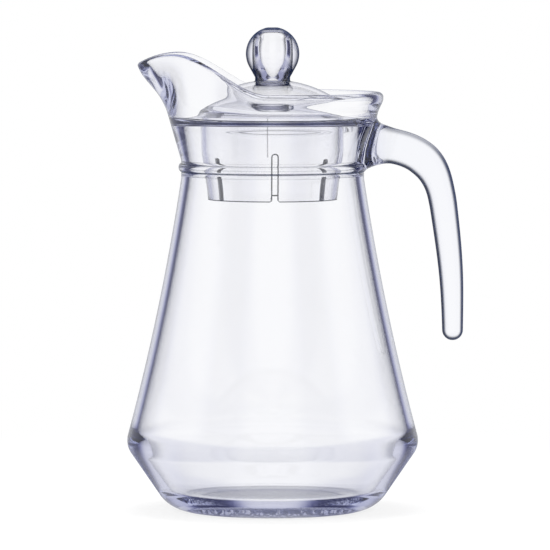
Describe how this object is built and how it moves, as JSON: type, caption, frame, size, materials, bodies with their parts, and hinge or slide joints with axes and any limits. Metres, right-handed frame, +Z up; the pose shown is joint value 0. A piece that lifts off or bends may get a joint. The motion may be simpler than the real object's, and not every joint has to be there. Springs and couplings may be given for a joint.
{
  "type": "glass pitcher with lid",
  "caption": "clear glass pitcher with a tapered body, slanted foot, upswept pouring spout, open hook handle and a lift-off domed lid with ball knob and slotted skirt",
  "frame": {"origin": "centre of the base mount: the middle of the foot, on the plane that the jug stands on", "axes": "+Z up along the jug's axis; -X towards the spout; +X towards the handle; the spout and the handle lie in the XZ plane"},
  "size_m": [0.1539, 0.1332, 0.221],
  "materials": {
    "jug_glass": "clear pressed glass with a faint cool tint",
    "lid_plastic": "clear glossy moulded plastic"
  },
  "bodies": {
    "jug": {"jug_body": "jug_glass", "handle": "jug_glass"},
    "lid": {"lid_dome": "lid_plastic", "lid_knob": "lid_plastic", "lid_skirt": "lid_plastic"}
  },
  "joints": [
    {"name": "lid_lift", "type": "slide", "parent": "jug", "child": "lid", "axis": [0, 0, 1], "range_m": [0, 0.09]}
  ]
}
